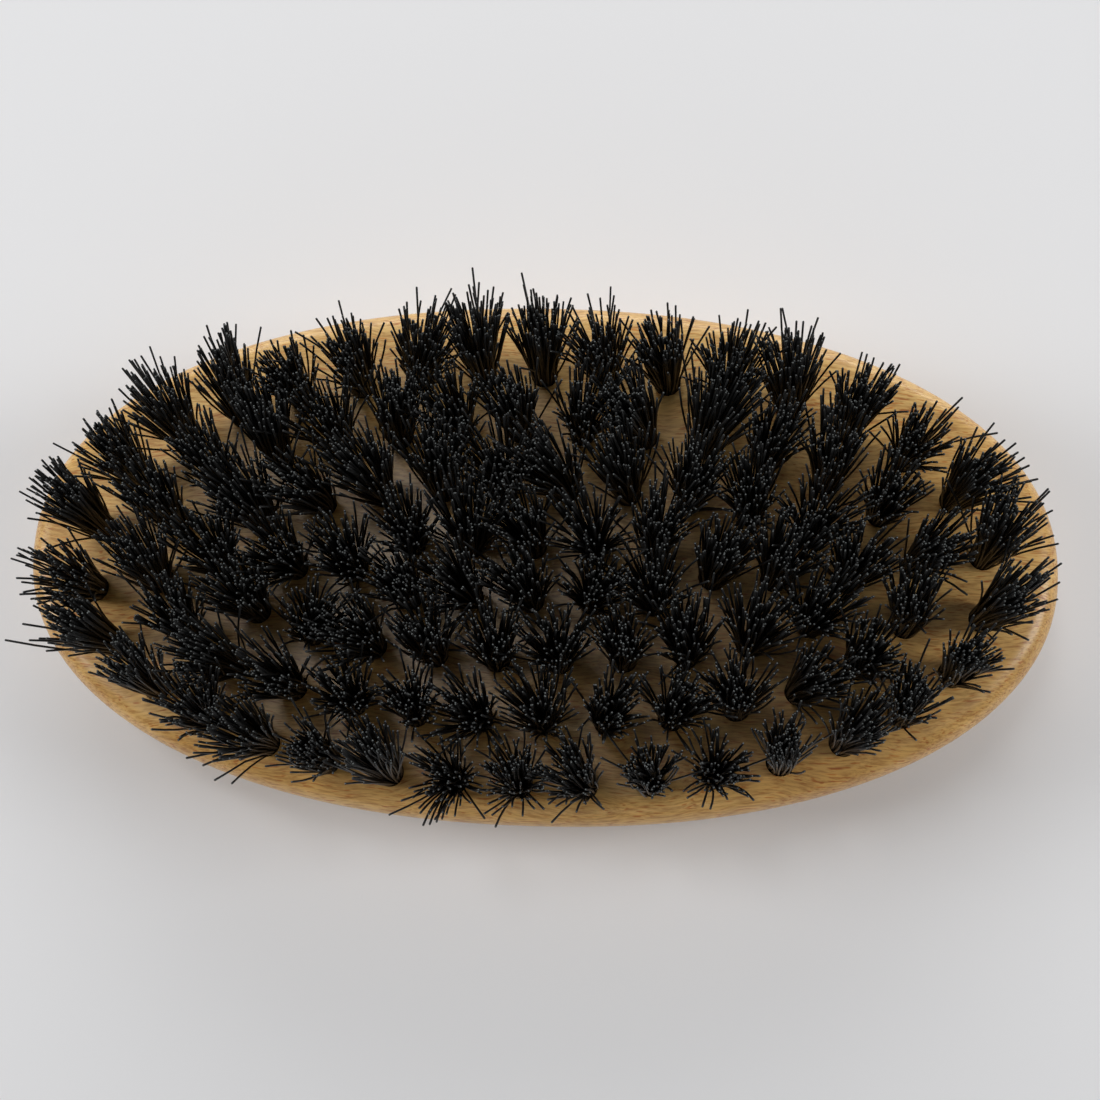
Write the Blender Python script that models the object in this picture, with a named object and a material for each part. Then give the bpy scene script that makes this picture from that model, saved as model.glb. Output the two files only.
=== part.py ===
"""Oval clothes brush, lying on its back with the bristles up.

A one-piece wooden stock is drilled with blind holes along three nested ovals and two
short rows inside them. Each hole holds one tuft of stiff black bristles.

Metres, +Z up, +X along the brush. The origin is on the surface that the brush rests on,
under the middle of the stock.
"""

import math

import bmesh
import bpy
from mathutils import Matrix, Vector

# Stock
STOCK_LENGTH = 0.120
STOCK_WIDTH = 0.062
STOCK_THICKNESS = 0.017
OUTLINE_POWER = 2.15          # 2 is an ellipse; more is squarer
OUTLINE_SEGMENTS = 72
RIM_RADIUS = 0.003            # rounding between the bristle face and the side
RIM_STEPS = 4
BACK_REACH = 0.016            # how far in from the side the rounded back runs to its flat
BACK_STEPS = 7

# Holes
HOLE_DIAMETER = 0.0032
HOLE_DEPTH = 0.009            # down to where the drill point starts
DRILL_POINT = 0.0008
HOLE_SIDES = 12

# Tufts
BRISTLE_HEIGHT = 0.0145       # above the face
TUFT_GAP = 0.0003             # clearance between a tuft and its hole
NECK_HEIGHT = 0.003           # where a tuft starts to fan out
NECK_DIAMETER = 0.0030
FAN_DIAMETER = 0.0058
CROWN_HEIGHT = 0.0006         # the cut tips are higher in the middle of a tuft
PAIR_LEAN = 0.0011            # how far the fans of a joined pair lean together
TUFT_SIDES = 8

# Layout of the holes: nested ovals, outermost first
OUTER_OVAL_LENGTH = 0.1026
OUTER_OVAL_WIDTH = 0.0482
OVAL_STEP_LENGTH = 0.0154     # each oval is shorter than the one around it by this much
OVAL_STEP_WIDTH = 0.0140
OVALS = (("outer", 34, 0.07), ("second", 28, 0.73), ("third", 22, 0.50))   # count, start
ARC_SAMPLES = 2000

# Layout inside the ovals: two short rows, with single holes beyond both their ends
INNER_ROW_COUNT = 5
INNER_ROW_PITCH = 0.0070
INNER_ROW_SPACING = 0.0063
INNER_END_REACHES = (0.0206, 0.0276)

PATTERN_SHIFT = -0.0025       # the drilled pattern sits nearer to the front edge

WOOD_COLOUR = (0.56, 0.37, 0.19, 1.0)
BRISTLE_COLOUR = (0.012, 0.012, 0.013, 1.0)


def clear_scene():
    """Remove every object, so that the script starts from nothing."""
    for scene_object in list(bpy.data.objects):
        bpy.data.objects.remove(scene_object)


def principled(name, colour, roughness, metallic=0.0):
    """A Principled material with one colour."""
    material = bpy.data.materials.new(name)
    material.use_nodes = True
    shader = material.node_tree.nodes["Principled BSDF"]
    shader.inputs["Base Color"].default_value = colour
    shader.inputs["Roughness"].default_value = roughness
    shader.inputs["Metallic"].default_value = metallic
    material.diffuse_color = colour
    return material


def oval_point(length, width, angle):
    """A point of a superellipse with the stock's power."""
    power = 2.0 / OUTLINE_POWER
    across = math.copysign(abs(math.cos(angle)) ** power, math.cos(angle))
    along = math.copysign(abs(math.sin(angle)) ** power, math.sin(angle))
    return Vector((0.5 * length * across, 0.5 * width * along))


def spaced_on_oval(length, width, count, start):
    """Points the same distance apart along an oval, start pitches on from its top."""
    samples = []
    travelled = [0.0]
    for index in range(ARC_SAMPLES + 1):
        angle = 0.5 * math.pi - 2.0 * math.pi * index / ARC_SAMPLES
        samples.append(oval_point(length, width, angle))
        if index:
            travelled.append(travelled[-1] + (samples[-1] - samples[-2]).length)
    pitch = travelled[-1] / count
    points = []
    step = 0
    for number in range(count):
        wanted = (number + start) * pitch
        while travelled[step + 1] < wanted:
            step += 1
        part = (wanted - travelled[step]) / (travelled[step + 1] - travelled[step])
        points.append(samples[step].lerp(samples[step + 1], part))
    return points


def inner_points():
    """The holes inside the ovals: two rows, then the single holes beyond their ends."""
    points = []
    for side in (0.5, -0.5):
        for column in range(INNER_ROW_COUNT):
            along = (column - 0.5 * (INNER_ROW_COUNT - 1)) * INNER_ROW_PITCH
            points.append(Vector((along, side * INNER_ROW_SPACING)))
    for reach in INNER_END_REACHES:
        points.append(Vector((-reach, 0.0)))
        points.append(Vector((reach, 0.0)))
    return points


def shifted(points):
    """Move points of the hole layout to their place on the stock."""
    return [point + Vector((0.0, PATTERN_SHIFT)) for point in points]


def object_from_bmesh(name, shape, material, smooth_angle):
    """Turn a bmesh into a named object with one material."""
    bmesh.ops.recalc_face_normals(shape, faces=shape.faces)
    mesh = bpy.data.meshes.new(name)
    shape.to_mesh(mesh)
    shape.free()
    mesh.materials.append(material)
    mesh.shade_smooth()
    mesh.set_sharp_from_angle(angle=math.radians(smooth_angle))
    made = bpy.data.objects.new(name, mesh)
    bpy.context.collection.objects.link(made)
    return made


def bridge_rings(shape, rings):
    """Join rings of the same number of points with quads, and close both ends."""
    loops = [[shape.verts.new(point) for point in ring] for ring in rings]
    for lower, upper in zip(loops, loops[1:]):
        count = len(lower)
        for index in range(count):
            after = (index + 1) % count
            shape.faces.new((lower[index], lower[after], upper[after], upper[index]))
    shape.faces.new(reversed(loops[0]))
    shape.faces.new(loops[-1])


def stock_levels():
    """Insets and heights of the stock's section, from the flat of the back to the face."""
    side_height = STOCK_THICKNESS - RIM_RADIUS
    levels = []
    for step in range(BACK_STEPS):
        angle = 0.5 * math.pi * (1.0 - step / BACK_STEPS)
        levels.append((BACK_REACH * (1.0 - math.cos(angle)), side_height * (1.0 - math.sin(angle))))
    for step in range(RIM_STEPS + 1):
        angle = 0.5 * math.pi * step / RIM_STEPS
        levels.append((RIM_RADIUS * (1.0 - math.cos(angle)), side_height + RIM_RADIUS * math.sin(angle)))
    return levels


def make_stock_blank(material):
    """The oval block, domed to a flat on its back and rounded at the rim of its face."""
    rings = []
    for inset, height in stock_levels():
        ring = []
        for index in range(OUTLINE_SEGMENTS):
            angle = 2.0 * math.pi * index / OUTLINE_SEGMENTS
            point = oval_point(STOCK_LENGTH - 2.0 * inset, STOCK_WIDTH - 2.0 * inset, angle)
            ring.append((point.x, point.y, height))
        rings.append(ring)
    shape = bmesh.new()
    bridge_rings(shape, rings)
    return object_from_bmesh("stock", shape, material, 35.0)


def turned(shape, profile, sides):
    """Add a closed turned body to a bmesh; the profile runs up, as centre, radius and height."""
    rings = []
    for centre, radius, height in profile:
        ring = []
        for index in range(sides):
            angle = 2.0 * math.pi * (index + 0.5) / sides
            ring.append((centre.x + radius * math.cos(angle), centre.y + radius * math.sin(angle), height))
        rings.append(ring)
    bridge_rings(shape, rings)


def make_drills(holes, material):
    """All the drilled holes as one cutter, each with a conical bottom."""
    shape = bmesh.new()
    radius = 0.5 * HOLE_DIAMETER
    bottom = STOCK_THICKNESS - HOLE_DEPTH
    for hole in holes:
        body = bmesh.new()
        turned(body, ((hole, radius, bottom), (hole, radius, STOCK_THICKNESS + RIM_RADIUS)), HOLE_SIDES)
        base = min(body.faces, key=lambda face: face.calc_center_median().z)
        point = bmesh.ops.poke(body, faces=[base])["verts"][0]
        point.co.z -= DRILL_POINT
        bmesh.ops.recalc_face_normals(body, faces=body.faces)
        mesh = bpy.data.meshes.new("drill")
        body.to_mesh(mesh)
        body.free()
        shape.from_mesh(mesh)
        bpy.data.meshes.remove(mesh)
    drills = object_from_bmesh("drills", shape, material, 35.0)
    drills.hide_render = True
    drills.display_type = "WIRE"
    return drills


def baked(made):
    """Replace an object's mesh by what its modifiers make of it."""
    graph = bpy.context.evaluated_depsgraph_get()
    mesh = bpy.data.meshes.new_from_object(made.evaluated_get(graph))
    made.modifiers.clear()
    made.data = mesh
    return made


def combine(target, other, operation):
    """Cut or join one object with another, which is used up."""
    modifier = target.modifiers.new(operation.lower(), "BOOLEAN")
    modifier.operation = operation
    modifier.solver = "EXACT"
    modifier.object = other
    baked(target)
    bpy.data.objects.remove(other)
    return target


def make_tuft(name, hole, lean, material):
    """One tuft: a root in its hole, a neck, and a fan whose top leans by a given vector."""
    root = STOCK_THICKNESS - HOLE_DEPTH + TUFT_GAP
    root_radius = 0.5 * HOLE_DIAMETER - TUFT_GAP
    top = STOCK_THICKNESS + BRISTLE_HEIGHT
    profile = (
        (hole, root_radius, root),
        (hole, root_radius, STOCK_THICKNESS),
        (hole, 0.5 * NECK_DIAMETER, STOCK_THICKNESS + NECK_HEIGHT),
        (hole + lean, 0.5 * FAN_DIAMETER, top - CROWN_HEIGHT),
    )
    shape = bmesh.new()
    turned(shape, profile, TUFT_SIDES)
    crown = max(shape.faces, key=lambda face: face.calc_center_median().z)
    peak = bmesh.ops.poke(shape, faces=[crown])["verts"][0]
    peak.co.z = top
    made = object_from_bmesh(name, shape, material, 50.0)
    origin = Vector((hole.x, hole.y, STOCK_THICKNESS))
    made.data.transform(Matrix.Translation(-origin))
    made.location = origin
    return made


def make_pair(name, first, second, material):
    """Two neighbouring tufts whose fans meet, joined into one body."""
    lean = (second - first).normalized() * PAIR_LEAN
    tuft = make_tuft(name, first, lean, material)
    neighbour = make_tuft(name + "_neighbour", second, -lean, material)
    bpy.context.view_layer.update()
    return combine(tuft, neighbour, "UNION")


def main():
    clear_scene()
    wood = principled("wood", WOOD_COLOUR, 0.45)
    bristle = principled("bristle", BRISTLE_COLOUR, 0.5)

    ovals = []
    for depth, (oval_name, count, start) in enumerate(OVALS):
        length = OUTER_OVAL_LENGTH - depth * OVAL_STEP_LENGTH
        width = OUTER_OVAL_WIDTH - depth * OVAL_STEP_WIDTH
        ovals.append((oval_name, shifted(spaced_on_oval(length, width, count, start))))
    inner = shifted(inner_points())
    holes = [hole for _, points in ovals for hole in points] + inner

    stock = make_stock_blank(wood)
    pieces = [combine(stock, make_drills(holes, wood), "DIFFERENCE")]
    for oval_name, points in ovals:
        for number in range(len(points) // 2):
            name = f"tuft_pair_{oval_name}_{number + 1:02d}"
            pieces.append(make_pair(name, points[2 * number], points[2 * number + 1], bristle))
    for number, hole in enumerate(inner):
        pieces.append(make_tuft(f"tuft_inner_{number + 1:02d}", hole, Vector((0.0, 0.0)), bristle))

    brush = bpy.data.objects.new("clothes_brush", None)
    bpy.context.collection.objects.link(brush)
    for piece in pieces:
        piece.parent = brush


main()
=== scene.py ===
"""Oval clothes brush: its looks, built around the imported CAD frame.

The stock is remade with a fine outline and varnished wood, and every tuft is remade as
separate filaments, each folded in two under a steel staple in the bottom of its hole.
Metres, +Z up, +X along the brush, bristles up.
"""

import math

import bmesh
import bpy
import numpy as np
from mathutils import Matrix, Vector


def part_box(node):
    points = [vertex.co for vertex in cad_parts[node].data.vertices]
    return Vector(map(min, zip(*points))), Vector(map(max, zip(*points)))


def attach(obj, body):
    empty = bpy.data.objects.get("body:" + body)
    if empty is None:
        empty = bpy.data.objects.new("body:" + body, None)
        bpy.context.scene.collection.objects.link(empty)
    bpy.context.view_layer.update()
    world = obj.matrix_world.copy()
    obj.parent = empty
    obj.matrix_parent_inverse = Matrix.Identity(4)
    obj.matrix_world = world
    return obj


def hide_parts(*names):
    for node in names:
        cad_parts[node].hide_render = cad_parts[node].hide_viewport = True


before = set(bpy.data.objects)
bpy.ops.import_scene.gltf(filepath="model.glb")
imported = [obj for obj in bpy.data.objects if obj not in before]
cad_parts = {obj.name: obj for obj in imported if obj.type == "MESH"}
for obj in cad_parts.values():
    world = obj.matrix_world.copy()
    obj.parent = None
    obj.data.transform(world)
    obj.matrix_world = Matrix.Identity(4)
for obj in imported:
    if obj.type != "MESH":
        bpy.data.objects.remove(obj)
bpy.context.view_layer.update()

# Stock: the same shape as the CAD solid, cut finer
OUTLINE_POWER = 2.15
OUTLINE_SEGMENTS = 288
RIM_RADIUS = 0.003
RIM_STEPS = 8
BACK_REACH = 0.016
BACK_STEPS = 18

# Holes
HOLE_DIAMETER = 0.0032
HOLE_DEPTH = 0.009
DRILL_POINT = 0.0008
HOLE_SIDES = 28
DRILL_RISE = 0.001            # how far a drill starts above the face
LEVEL_TOLERANCE = 0.00001     # CAD points this close in height count as level

# Filaments
BRISTLE_HEIGHT = 0.0145       # above the face
FILAMENT_RADIUS = 0.00012
FILAMENT_SIDES = 6
LEGS_PER_TUFT = 112
ROOT_RADIUS = 0.00147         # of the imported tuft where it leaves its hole
FOLD_DEPTH = 0.0085           # below the face
LEG_POINTS = 5                # along a leg, from the mouth of the hole to the tip
TIP_ROUNDING = 0.00005        # height of the rounded edge of a cut end
TIP_FLAT = 0.58               # width of the flat cut end, as a share of the filament's
FAN_SPREAD = 0.0017           # how far the outermost tips move out, at the edge of the field
MIDDLE_SPLAY = 0.40           # how much further they move out in the middle of the field
FAN_RANGE = (0.70, 1.40)      # a tuft's own fan, as a share of that
FAN_STRETCH = (0.85, 1.25)    # across the staple, and the inverse along it
FAN_POWER = 1.2               # how the fan grows from the middle of a tuft to its edge
SPREAD_JITTER = 0.00030
CLUMPS = 9                    # bundles of filaments that lean alike in each half of a tuft
CLUMP_LEAN = 0.00048
TUFT_LEAN = 0.0009            # how far a whole tuft may lean
FIELD_LEAN = (0.0, 0.0004)    # how far all the tufts lean
LOOSE_SHARE = 0.18            # outer filaments that splay further than the rest
LOOSE_FROM = 0.6              # they stand outside this share of a tuft's radius
LOOSE_SPREAD = (0.0006, 0.0021)
STRAY_SHARE = 0.022           # filaments that lean far out
STRAY_SPREAD = (0.0025, 0.0050)
KINK_SHARE = 0.03             # filaments bent sideways above half their height
KINK_REACH = 0.0016
LENGTH_JITTER = 0.022
CURL = 0.00018                # how far a filament bows at half its height
LATE_LEAN = 0.25              # share of a leg's sideways move that comes late, near its tip
TUFT_TURN = 0.25              # how far a tuft is usually turned on its axis, in radians
FOLD_NARROWING = 0.75         # width of the fold along the staple, as a share of the tuft's
FOLD_NESTING = 0.25           # how much deeper an outer filament folds than an inner one
FOLD_STEPS = ((0.8, 0.6), (0.0, 0.0), (-0.8, 0.6))    # sideways and upward, as shares of a leg's reach

# Staples
STAPLE_WIRE_RADIUS = 0.00025
STAPLE_SPAN = 0.0024
STAPLE_LEG = 0.0030
STAPLE_CROWN_DEPTH = 0.0078   # below the face
STAPLE_BEND_STEPS = 5
STAPLE_SIDES = 8

# Edges sharper than these angles, in degrees, are shaded as edges
STOCK_EDGE = 35.0
CUT_END_EDGE = 75.0
STAPLE_EDGE = 60.0

# Wood: features in a metre, along the grain and across it
FIGURE_SCALE = (22.0, 330.0, 330.0)
FIBRE_SCALE = (400.0, 3600.0, 3600.0)
PORE_SCALE = (480.0, 4600.0, 4600.0)
PATCH_SCALE = (45.0, 90.0, 90.0)
WANDER_SCALE = (65.0, 90.0, 90.0)
GRAIN_WANDER = (0.0, 0.0048, 0.0048)    # how far the grain lines wander
FIBRE_RELIEF = 0.00006                  # height of the fibres under the varnish

# Bristles and staples: features in a metre
BRISTLE_BAND_SCALE = (2600.0, 2600.0, 500.0)
CUT_END_SCALE = (2500.0, 2500.0, 2500.0)
SCRATCH_SCALE = (900.0, 9000.0, 9000.0)
PAINTED_BOUNCE_SHARE = 0.7                  # share of a bristle's height where the painted brown reflection of the wood has faded

# Camera
CAMERA_PLACE = Vector((0.01303, -0.03861, 0.17913))
CAMERA_AIM = Vector((0.00196, 0.00022, 0.017))
CAMERA_ROLL = 2.244           # degrees
CAMERA_LENS = 47.45
CAMERA_SENSOR = 36.0

# Studio
FLOOR_SIZE = 4.0
LAMPS = (                     # name, place, size, power
    ("key", (-0.165, 0.175, 0.867), (0.13, 0.17), 0.75),
    ("left", (-0.73, 0.0, 0.53), (0.30, 0.45), 3.4),
    ("right", (0.73, 0.0, 0.53), (0.30, 0.45), 3.1),
    ("back", (0.0, 0.67, 0.60), (0.60, 0.30), 1.0),
    ("far", (0.0, 0.87, 0.23), (1.40, 0.30), 4.9),
    ("front", (0.0, -0.78, 0.45), (0.60, 0.30), 0.35),
)
WORLD_COLOUR = (0.97, 0.98, 1.0, 1.0)
WORLD_STRENGTH = 0.17

SEED = 11


# ---------------------------------------------------------------- materials

def new_material(name, roughness):
    """A Principled material; returns it with its node tree and shader."""
    material = bpy.data.materials.new(name)
    material.use_nodes = True
    tree = material.node_tree
    shader = tree.nodes["Principled BSDF"]
    shader.inputs["Roughness"].default_value = roughness
    return material, tree, shader


def stretched_place(tree, scale, shift=None):
    """Object coordinates times a scale, after a shift by another node's vector."""
    place = tree.nodes.new("ShaderNodeTexCoord").outputs["Object"]
    if shift is not None:
        moved = tree.nodes.new("ShaderNodeVectorMath")
        moved.operation = "ADD"
        tree.links.new(place, moved.inputs[0])
        tree.links.new(shift, moved.inputs[1])
        place = moved.outputs[0]
    scaled = tree.nodes.new("ShaderNodeVectorMath")
    scaled.operation = "MULTIPLY"
    scaled.inputs[1].default_value = scale
    tree.links.new(place, scaled.inputs[0])
    return scaled.outputs[0]


def noise(tree, place, detail=2.0, roughness=0.5):
    """Noise with features one unit across in the given coordinates."""
    made = tree.nodes.new("ShaderNodeTexNoise")
    made.inputs["Scale"].default_value = 1.0
    made.inputs["Detail"].default_value = detail
    made.inputs["Roughness"].default_value = roughness
    tree.links.new(place, made.inputs["Vector"])
    return made


def ramp(tree, value, stops):
    """A colour ramp over a value; stops are (position, colour)."""
    made = tree.nodes.new("ShaderNodeValToRGB")
    points = made.color_ramp.elements
    while len(points) < len(stops):
        points.new(0.5)
    for point, (position, colour) in zip(points, stops):
        point.position = position
        point.color = colour
    tree.links.new(value, made.inputs["Fac"])
    return made.outputs["Color"]


def multiplied(tree, first, second):
    """The product of two colours."""
    made = tree.nodes.new("ShaderNodeMix")
    made.data_type = "RGBA"
    made.blend_type = "MULTIPLY"
    factor, left, right = made.inputs[0], made.inputs[6], made.inputs[7]
    factor.default_value = 1.0
    tree.links.new(first, left)
    tree.links.new(second, right)
    return made.outputs[2]


def grey(level):
    """An opaque grey."""
    return (level, level, level, 1.0)


def share_along(tree, axis, start, end):
    """A value that rises from 0 to 1 between two places on an axis."""
    place = tree.nodes.new("ShaderNodeTexCoord").outputs["Object"]
    split = tree.nodes.new("ShaderNodeSeparateXYZ")
    tree.links.new(place, split.inputs[0])
    share = tree.nodes.new("ShaderNodeMapRange")
    share.inputs["From Min"].default_value = start
    share.inputs["From Max"].default_value = end
    tree.links.new(split.outputs[axis], share.inputs["Value"])
    return share.outputs["Result"]


def grain_shift(tree):
    """A slow sideways wander that bends the grain lines."""
    slow = noise(tree, stretched_place(tree, WANDER_SCALE), detail=2.0)
    centred = tree.nodes.new("ShaderNodeVectorMath")
    centred.operation = "SUBTRACT"
    centred.inputs[1].default_value = (0.5, 0.5, 0.5)
    tree.links.new(slow.outputs["Color"], centred.inputs[0])
    wander = tree.nodes.new("ShaderNodeVectorMath")
    wander.operation = "MULTIPLY"
    wander.inputs[1].default_value = GRAIN_WANDER
    tree.links.new(centred.outputs[0], wander.inputs[0])
    return wander.outputs[0]


def wood_material():
    """Pale hardwood under satin varnish, with painted shade that makes it darker and warmer towards the
    near side.
    """
    material, tree, shader = new_material("varnished_wood", 0.4)
    shift = grain_shift(tree)
    figure = noise(tree, stretched_place(tree, FIGURE_SCALE, shift), detail=3.0)
    fibres = noise(tree, stretched_place(tree, FIBRE_SCALE, shift), detail=3.0, roughness=0.6)
    pores = noise(tree, stretched_place(tree, PORE_SCALE, shift), detail=1.0)
    patches = noise(tree, stretched_place(tree, PATCH_SCALE), detail=2.0)

    body = ramp(tree, figure.outputs["Fac"], (
        (0.28, (0.61, 0.355, 0.100, 1.0)),
        (0.50, (0.71, 0.440, 0.140, 1.0)),
        (0.72, (0.79, 0.520, 0.185, 1.0)),
    ))
    tint = ramp(tree, patches.outputs["Fac"], ((0.30, (0.93, 0.90, 0.84, 1.0)), (0.70, grey(1.0))))
    body = multiplied(tree, body, tint)
    half_width = 0.5 * (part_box("stock")[1].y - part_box("stock")[0].y)
    # Painted shade: the wood's colour is darkened and warmed towards the near side of the face.
    across = ramp(tree, share_along(tree, "Y", -half_width, half_width), (
        (0.10, (0.98, 0.92, 0.83, 1.0)),
        (0.85, grey(1.0)),
    ))
    body = multiplied(tree, body, across)
    strokes = ramp(tree, fibres.outputs["Fac"], (
        (0.34, (0.66, 0.54, 0.40, 1.0)),
        (0.54, grey(0.97)),
        (0.68, grey(1.10)),
    ))
    body = multiplied(tree, body, strokes)
    pits = ramp(tree, pores.outputs["Fac"], ((0.59, grey(1.0)), (0.69, (0.76, 0.48, 0.24, 1.0))))
    body = multiplied(tree, body, pits)
    tree.links.new(body, shader.inputs["Base Color"])

    satin = ramp(tree, fibres.outputs["Fac"], ((0.25, grey(0.48)), (0.75, grey(0.36))))
    tree.links.new(satin, shader.inputs["Roughness"])
    shader.inputs["Coat Weight"].default_value = 0.30
    shader.inputs["Coat Roughness"].default_value = 0.24

    relief = tree.nodes.new("ShaderNodeBump")
    relief.inputs["Strength"].default_value = 0.35
    relief.inputs["Distance"].default_value = FIBRE_RELIEF
    tree.links.new(fibres.outputs["Fac"], relief.inputs["Height"])
    tree.links.new(relief.outputs["Normal"], shader.inputs["Normal"])
    return material


def bristle_material():
    """Black nylon with a painted brown reflection of the wood towards the root, and faint bands along its
    length.
    """
    material, tree, shader = new_material("black_bristle", 0.42)
    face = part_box("stock")[1].z
    height = share_along(tree, "Z", face, face + PAINTED_BOUNCE_SHARE * BRISTLE_HEIGHT)
    # Painted reflection: the wood's brown light is painted on the lower bristles, fading to plain black
    # above.
    black_with_painted_bounce = ramp(tree, height, (
        (0.0, (0.056, 0.037, 0.023, 1.0)),
        (1.0, (0.022, 0.022, 0.022, 1.0)),
    ))
    bands = noise(tree, stretched_place(tree, BRISTLE_BAND_SCALE), detail=1.0)
    shade = ramp(tree, bands.outputs["Fac"], ((0.3, grey(0.65)), (0.7, grey(1.25))))
    tree.links.new(multiplied(tree, black_with_painted_bounce, shade), shader.inputs["Base Color"])
    shader.inputs["Specular IOR Level"].default_value = 0.25
    return material


def cut_end_material():
    """The paler, matt cut end of a filament, lighter on some filaments than on others."""
    material, tree, shader = new_material("cut_bristle_end", 0.55)
    patches = noise(tree, stretched_place(tree, CUT_END_SCALE), detail=0.0)
    shade = ramp(tree, patches.outputs["Fac"], (
        (0.35, (0.018, 0.021, 0.021, 1.0)),
        (0.72, (0.125, 0.142, 0.138, 1.0)),
    ))
    tree.links.new(shade, shader.inputs["Base Color"])
    return material


def staple_material():
    """Drawn steel wire, with fine lengthwise scratches."""
    material, tree, shader = new_material("staple_wire", 0.35)
    shader.inputs["Base Color"].default_value = (0.62, 0.61, 0.58, 1.0)
    shader.inputs["Metallic"].default_value = 1.0
    scratches = noise(tree, stretched_place(tree, SCRATCH_SCALE))
    worn = ramp(tree, scratches.outputs["Fac"], ((0.3, grey(0.28)), (0.7, grey(0.45))))
    tree.links.new(worn, shader.inputs["Roughness"])
    return material


def floor_material():
    """Plain pale paper."""
    material, _, shader = new_material("pale_floor", 0.85)
    shader.inputs["Base Color"].default_value = (0.80, 0.80, 0.81, 1.0)
    shader.inputs["Specular IOR Level"].default_value = 0.1
    return material


# ---------------------------------------------------------------- stock

def link_object(name, mesh, *materials):
    """A named object in the scene, with its materials."""
    for material in materials:
        mesh.materials.append(material)
    made = bpy.data.objects.new(name, mesh)
    bpy.context.scene.collection.objects.link(made)
    return made


def oval_point(length, width, angle):
    """A point of the stock's oval outline."""
    power = 2.0 / OUTLINE_POWER
    across = math.copysign(abs(math.cos(angle)) ** power, math.cos(angle))
    along = math.copysign(abs(math.sin(angle)) ** power, math.sin(angle))
    return Vector((0.5 * length * across, 0.5 * width * along))


def stock_levels(thickness):
    """Insets and heights of the stock's section, from the flat of the back to the face."""
    side_height = thickness - RIM_RADIUS
    levels = []
    for step in range(BACK_STEPS):
        angle = 0.5 * math.pi * (1.0 - step / BACK_STEPS)
        levels.append((BACK_REACH * (1.0 - math.cos(angle)), side_height * (1.0 - math.sin(angle))))
    for step in range(RIM_STEPS + 1):
        angle = 0.5 * math.pi * step / RIM_STEPS
        levels.append((RIM_RADIUS * (1.0 - math.cos(angle)), side_height + RIM_RADIUS * math.sin(angle)))
    return levels


def bridge_rings(shape, rings):
    """Join rings of the same number of points with quads, and close both ends."""
    loops = [[shape.verts.new(point) for point in ring] for ring in rings]
    for lower, upper in zip(loops, loops[1:]):
        count = len(lower)
        for index in range(count):
            after = (index + 1) % count
            shape.faces.new((lower[index], lower[after], upper[after], upper[index]))
    shape.faces.new(reversed(loops[0]))
    shape.faces.new(loops[-1])


def stock_blank(size):
    """The oval block before it is drilled."""
    rings = []
    for inset, height in stock_levels(size.z):
        ring = []
        for index in range(OUTLINE_SEGMENTS):
            angle = 2.0 * math.pi * index / OUTLINE_SEGMENTS
            point = oval_point(size.x - 2.0 * inset, size.y - 2.0 * inset, angle)
            ring.append((point.x, point.y, height))
        rings.append(ring)
    shape = bmesh.new()
    bridge_rings(shape, rings)
    mesh = bpy.data.meshes.new("stock_blank")
    shape.to_mesh(mesh)
    shape.free()
    return mesh


def circle(centre, radius, height):
    """Points of a drill's round section at one height."""
    points = []
    for turn in np.linspace(0.0, 2.0 * math.pi, HOLE_SIDES, endpoint=False):
        points.append((centre.x + radius * math.cos(turn), centre.y + radius * math.sin(turn), height))
    return points


def drills(holes, face):
    """One cutter with a drill for each hole, pointed at its bottom."""
    radius = 0.5 * HOLE_DIAMETER
    bottom = face - HOLE_DEPTH
    top = face + DRILL_RISE
    shape = bmesh.new()
    for hole in holes:
        lower = [shape.verts.new(point) for point in circle(hole, radius, bottom)]
        upper = [shape.verts.new(point) for point in circle(hole, radius, top)]
        tip = shape.verts.new((hole.x, hole.y, bottom - DRILL_POINT))
        for index in range(HOLE_SIDES):
            after = (index + 1) % HOLE_SIDES
            shape.faces.new((lower[index], lower[after], upper[after], upper[index]))
            shape.faces.new((lower[after], lower[index], tip))
        shape.faces.new(upper)
    mesh = bpy.data.meshes.new("drills")
    shape.to_mesh(mesh)
    shape.free()
    return mesh


def make_stock(holes, material):
    """The drilled stock, which stands for the CAD one."""
    low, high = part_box("stock")
    stock = link_object("wooden_stock", stock_blank(high - low), material)
    cutter = link_object("drills", drills(holes, high.z), material)
    cut = stock.modifiers.new("drilled", "BOOLEAN")
    cut.operation = "DIFFERENCE"
    cut.solver = "EXACT"
    cut.object = cutter
    graph = bpy.context.evaluated_depsgraph_get()
    stock.data = bpy.data.meshes.new_from_object(stock.evaluated_get(graph))
    stock.modifiers.clear()
    bpy.data.objects.remove(cutter)
    stock.data.shade_smooth()
    stock.data.set_sharp_from_angle(angle=math.radians(STOCK_EDGE))
    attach(stock, "root")
    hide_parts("stock")


# ---------------------------------------------------------------- tufts

def hole_centres(node):
    """Where the tufts of a CAD node stand: one or two rings of lowest points."""
    points = np.array([vertex.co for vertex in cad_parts[node].data.vertices])
    low = points[points[:, 2] < points[:, 2].min() + LEVEL_TOLERANCE][:, :2]
    near = np.linalg.norm(low - low[0], axis=1) < HOLE_DIAMETER
    centres = []
    for ring in (low[near], low[~near]):
        if len(ring):
            centres.append(Vector(0.5 * (ring.min(axis=0) + ring.max(axis=0))))
    return centres


def packed_roots():
    """Places of the folded filaments' first legs in a tuft; the second legs mirror them."""
    golden = math.pi * (3.0 - math.sqrt(5.0))
    number = np.arange(LEGS_PER_TUFT) + 0.5
    reach = ROOT_RADIUS * np.sqrt(number / LEGS_PER_TUFT)
    across = reach * np.cos(golden * number)
    along = reach * np.sin(golden * number)
    first = across > 0.0
    return np.column_stack((across[first], along[first]))


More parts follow.
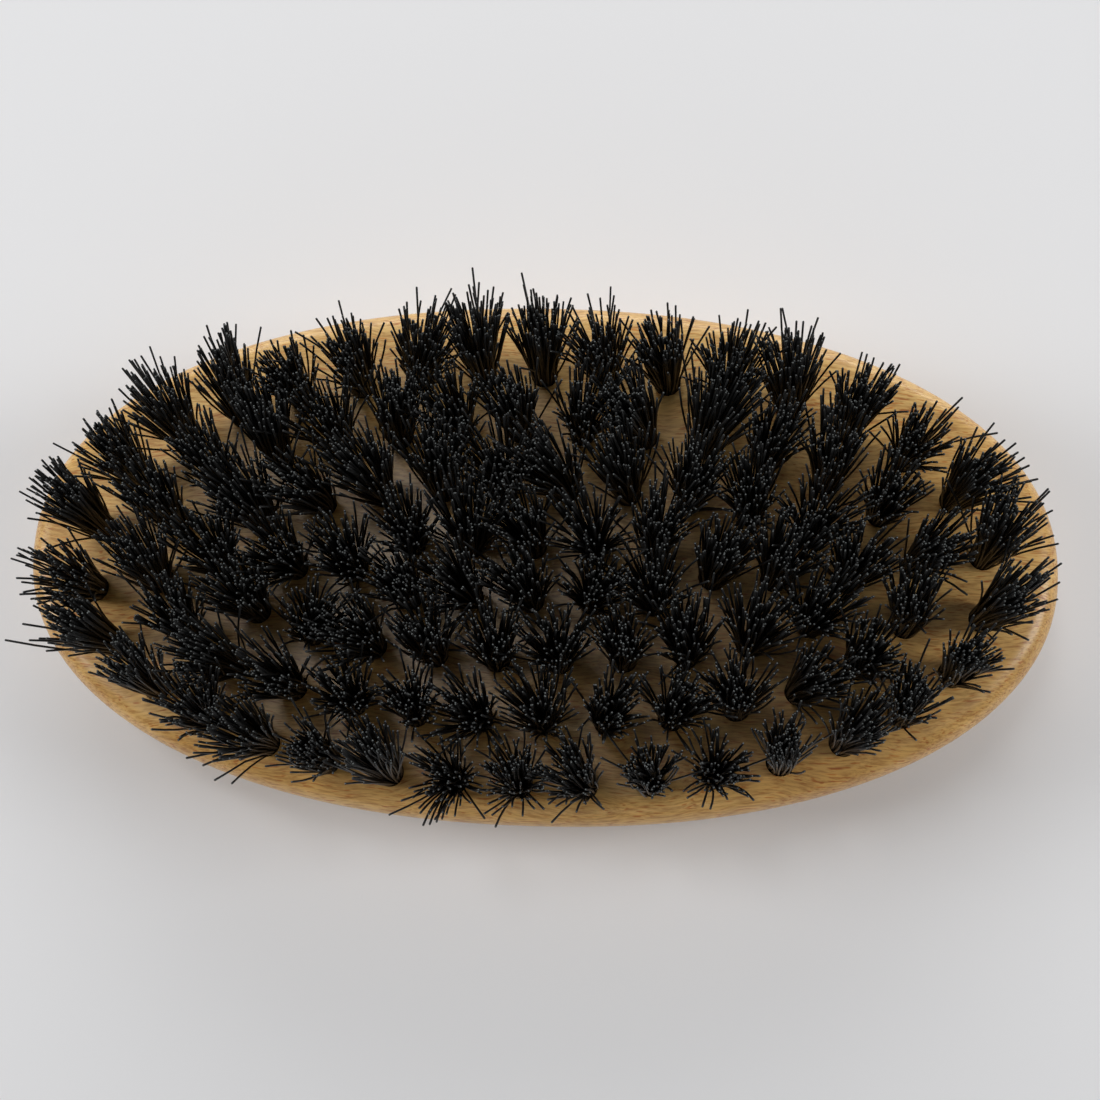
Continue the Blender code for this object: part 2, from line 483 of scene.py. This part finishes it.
def clump_moves(random, roots):
    """Sideways moves of the tips that the filaments of a bundle share."""
    heads = roots[random.choice(len(roots), CLUMPS, replace=False)]
    apart = np.linalg.norm(roots[:, None] - heads[None], axis=2)
    moves = random.normal(0.0, CLUMP_LEAN, (CLUMPS, 2))
    return moves[apart.argmin(axis=1)]


def tip_offsets(random, roots, fan):
    """How far each tip is moved sideways from its root."""
    count = len(roots)
    radius = np.linalg.norm(roots, axis=1)
    reach = radius / ROOT_RADIUS
    outward = roots / radius[:, None]
    offsets = outward * fan * (reach ** FAN_POWER)[:, None]
    offsets += clump_moves(random, roots)
    offsets += random.normal(0.0, SPREAD_JITTER, (count, 2))
    loose = (random.random(count) < LOOSE_SHARE) & (reach > LOOSE_FROM)
    push = np.where(loose, random.uniform(*LOOSE_SPREAD, count), 0.0)
    offsets += outward * push[:, None]
    stray = random.random(count) < STRAY_SHARE
    far = np.where(stray, random.uniform(*STRAY_SPREAD, count), 0.0)
    turn = random.uniform(0.0, 2.0 * math.pi, count)
    offsets += np.column_stack((np.cos(turn), np.sin(turn))) * far[:, None]
    return offsets


def leg_paths(random, roots, face, fan, lean):
    """Points of each leg from the mouth of its hole up to its tip."""
    count = len(roots)
    offsets = tip_offsets(random, roots, fan) + lean
    slope = np.linalg.norm(offsets, axis=1) / BRISTLE_HEIGHT
    length = BRISTLE_HEIGHT * (1.0 - np.abs(random.normal(0.0, LENGTH_JITTER, count)))
    rise = length / np.sqrt(1.0 + slope ** 2)
    bow = random.normal(0.0, CURL, (count, 2))
    kinked = random.random((count, 1)) < KINK_SHARE
    kink = np.where(kinked, random.uniform(-KINK_REACH, KINK_REACH, (count, 2)), 0.0)
    parts = list(np.linspace(0.0, 1.0, LEG_POINTS))
    parts.append(1.0 + TIP_ROUNDING / BRISTLE_HEIGHT)
    paths = np.empty((count, len(parts), 3))
    for step, part in enumerate(parts):
        along = (1.0 - LATE_LEAN) * part + LATE_LEAN * part ** 2
        arch = 4.0 * part * (1.0 - part)
        bent = 2.0 * max(part - 0.5, 0.0)
        paths[:, step, :2] = roots + offsets * along + bow * arch + kink * bent
        paths[:, step, 2] = face + rise * part
    return paths


def filament_paths(random, centre, face):
    """Whole filaments: down one leg, under the staple, and up the other."""
    stretch = random.uniform(*FAN_STRETCH)
    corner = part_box("stock")[1]
    middle = 1.0 - math.hypot(centre.x / corner.x, centre.y / corner.y)
    fan = FAN_SPREAD * (1.0 + MIDDLE_SPLAY * middle) * random.uniform(*FAN_RANGE)
    fan = fan * np.array((stretch, 1.0 / stretch))
    lean = random.normal(FIELD_LEAN, TUFT_LEAN, 2)
    first = packed_roots()
    second = first * (-1.0, 1.0)
    up = leg_paths(random, second, face, fan, lean)
    down = leg_paths(random, first, face, fan, lean)[:, ::-1]
    fold = np.empty((len(first), 3, 3))
    depth = face - FOLD_DEPTH + FOLD_NESTING * (ROOT_RADIUS - first[:, 0])
    for step, (share, lift) in enumerate(FOLD_STEPS):
        fold[:, step, :2] = first * (share, FOLD_NARROWING)
        fold[:, step, 2] = depth + lift * first[:, 0]
    paths = np.concatenate((down, fold, up), axis=1)
    turn = random.normal(0.0, TUFT_TURN)
    rotation = np.array(((math.cos(turn), -math.sin(turn)), (math.sin(turn), math.cos(turn))))
    paths[:, :, :2] = paths[:, :, :2] @ rotation.T + np.array(centre)
    return paths, rotation @ np.array((0.0, 1.0))


def tubes(paths, side_axis):
    """Closed tubes along many paths: vertices, faces, and which faces are cut ends."""
    count, steps, _ = paths.shape
    along = np.gradient(paths, axis=1)
    along /= np.linalg.norm(along, axis=2, keepdims=True)
    side = np.array((side_axis[0], side_axis[1], 0.0)) - along * (along[:, :, :2] @ side_axis)[:, :, None]
    side /= np.linalg.norm(side, axis=2, keepdims=True)
    other = np.cross(along, side)
    turn = 2.0 * math.pi * np.arange(FILAMENT_SIDES) / FILAMENT_SIDES
    rings = (side[:, :, None, :] * np.cos(turn)[None, None, :, None]
             + other[:, :, None, :] * np.sin(turn)[None, None, :, None])
    radii = np.full(steps, FILAMENT_RADIUS)
    radii[[0, -1]] *= TIP_FLAT
    vertices = paths[:, :, None, :] + radii[None, :, None, None] * rings
    faces = []
    ends = []
    for tube in range(count):
        base = tube * steps * FILAMENT_SIDES
        last = base + (steps - 1) * FILAMENT_SIDES
        for step in range(steps - 1):
            ring = base + step * FILAMENT_SIDES
            above = ring + FILAMENT_SIDES
            for index in range(FILAMENT_SIDES):
                after = (index + 1) % FILAMENT_SIDES
                faces.append((ring + index, ring + after, above + after, above + index))
                ends.append(0)
        faces.append(tuple(base + index for index in reversed(range(FILAMENT_SIDES))))
        faces.append(tuple(last + index for index in range(FILAMENT_SIDES)))
        ends.extend((1, 1))
    return vertices.reshape(-1, 3), faces, ends


def make_tuft(name, node, centre, seed, materials):
    """One tuft of folded filaments, which stands for its CAD solid."""
    random = np.random.default_rng(seed)
    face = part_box("stock")[1].z
    paths, side_axis = filament_paths(random, centre, face)
    vertices, faces, ends = tubes(paths, side_axis)
    mesh = bpy.data.meshes.new(name)
    mesh.from_pydata(vertices.tolist(), [], faces)
    mesh.polygons.foreach_set("material_index", ends)
    mesh.shade_smooth()
    mesh.set_sharp_from_angle(angle=math.radians(CUT_END_EDGE))
    tuft = link_object(name, mesh, *materials)
    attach(tuft, "root")
    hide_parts(node)


# ---------------------------------------------------------------- staples

def staple_mesh():
    """A wire bent to a low arch, its two legs pointing down; the crown's middle is at the origin."""
    bend = 2.0 * STAPLE_WIRE_RADIUS
    half = 0.5 * STAPLE_SPAN
    right = [Vector((half, 0.0, -STAPLE_LEG))]
    for step in range(STAPLE_BEND_STEPS + 1):
        angle = 0.5 * math.pi * step / STAPLE_BEND_STEPS
        right.append(Vector((half - bend + bend * math.cos(angle), 0.0, -bend + bend * math.sin(angle))))
    left = [Vector((-point.x, 0.0, point.z)) for point in reversed(right)]
    path = right + left
    shape = bmesh.new()
    rings = []
    for index, point in enumerate(path):
        before = path[max(index - 1, 0)]
        after = path[min(index + 1, len(path) - 1)]
        along = (after - before).normalized()
        side = Vector((0.0, 1.0, 0.0))
        other = along.cross(side)
        ring = []
        for turn in np.linspace(0.0, 2.0 * math.pi, STAPLE_SIDES, endpoint=False):
            ring.append(point + STAPLE_WIRE_RADIUS * (math.cos(turn) * side + math.sin(turn) * other))
        rings.append(ring)
    bridge_rings(shape, rings)
    bmesh.ops.recalc_face_normals(shape, faces=shape.faces)
    mesh = bpy.data.meshes.new("staple")
    shape.to_mesh(mesh)
    shape.free()
    mesh.shade_smooth()
    mesh.set_sharp_from_angle(angle=math.radians(STAPLE_EDGE))
    return mesh


def make_staple(name, mesh, centre, face):
    """One staple in the bottom of a hole; its wire lies across the folded filaments."""
    staple = bpy.data.objects.new(name, mesh)
    bpy.context.scene.collection.objects.link(staple)
    staple.location = (centre.x, centre.y, face - STAPLE_CROWN_DEPTH)
    staple.rotation_euler.z = 0.5 * math.pi
    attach(staple, "root")


# ---------------------------------------------------------------- studio

def add_camera():
    """The camera looks down on the brush from its near side."""
    back = (CAMERA_PLACE - CAMERA_AIM).normalized()
    right = Vector((0.0, 1.0, 0.0)).cross(back).normalized()
    up = back.cross(right)
    looking = Matrix((right, up, back)).transposed().to_4x4()
    data = bpy.data.cameras.new("camera")
    data.lens = CAMERA_LENS
    data.sensor_width = CAMERA_SENSOR
    data.clip_start = 0.005
    camera = bpy.data.objects.new("camera", data)
    roll = Matrix.Rotation(math.radians(CAMERA_ROLL), 4, "Z")
    camera.matrix_world = Matrix.Translation(CAMERA_PLACE) @ looking @ roll
    bpy.context.scene.collection.objects.link(camera)
    bpy.context.scene.camera = camera


def add_floor(material):
    """A wide pale floor under the brush."""
    half = 0.5 * FLOOR_SIZE
    mesh = bpy.data.meshes.new("floor")
    corners = [(-half, -half, 0.0), (half, -half, 0.0), (half, half, 0.0), (-half, half, 0.0)]
    mesh.from_pydata(corners, [], [(0, 1, 2, 3)])
    floor = link_object("floor", mesh, material)


def add_lamp(name, place, size, power):
    """A rectangular soft light aimed at the brush."""
    data = bpy.data.lights.new(name, "AREA")
    data.shape = "RECTANGLE"
    data.size, data.size_y = size
    data.energy = power
    lamp = bpy.data.objects.new(name, data)
    lamp.location = place
    lamp.rotation_euler = (-Vector(place)).to_track_quat("-Z", "Y").to_euler()
    bpy.context.scene.collection.objects.link(lamp)


def add_world():
    """Even pale light from all round."""
    world = bpy.data.worlds.new("studio")
    world.use_nodes = True
    background = world.node_tree.nodes["Background"]
    background.inputs["Color"].default_value = WORLD_COLOUR
    background.inputs["Strength"].default_value = WORLD_STRENGTH
    bpy.context.scene.world = world


def add_studio():
    """Camera, floor and lights, with a plain view transform."""
    bpy.context.scene.view_settings.view_transform = "Standard"
    add_camera()
    add_floor(floor_material())
    for lamp in LAMPS:
        add_lamp(*lamp)
    add_world()


# ---------------------------------------------------------------- assembly

def tuft_places():
    """Each tuft's name, CAD node and place, in the order of the CAD nodes."""
    places = []
    for node in sorted(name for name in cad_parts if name.startswith("tuft_")):
        ring = node.split("_")[-2]
        for centre in hole_centres(node):
            number = sum(1 for place in places if place[0] == ring) + 1
            places.append((ring, number, node, centre))
    return places


def main():
    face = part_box("stock")[1].z
    places = tuft_places()
    make_stock([centre for _, _, _, centre in places], wood_material())
    bristles = (bristle_material(), cut_end_material())
    wire = staple_mesh()
    wire.materials.append(staple_material())
    for order, (ring, number, node, centre) in enumerate(places):
        make_tuft(f"bristles_{ring}_{number:02d}", node, centre, (SEED, order), bristles)
        make_staple(f"staple_{ring}_{number:02d}", wire, centre, face)
    add_studio()


main()
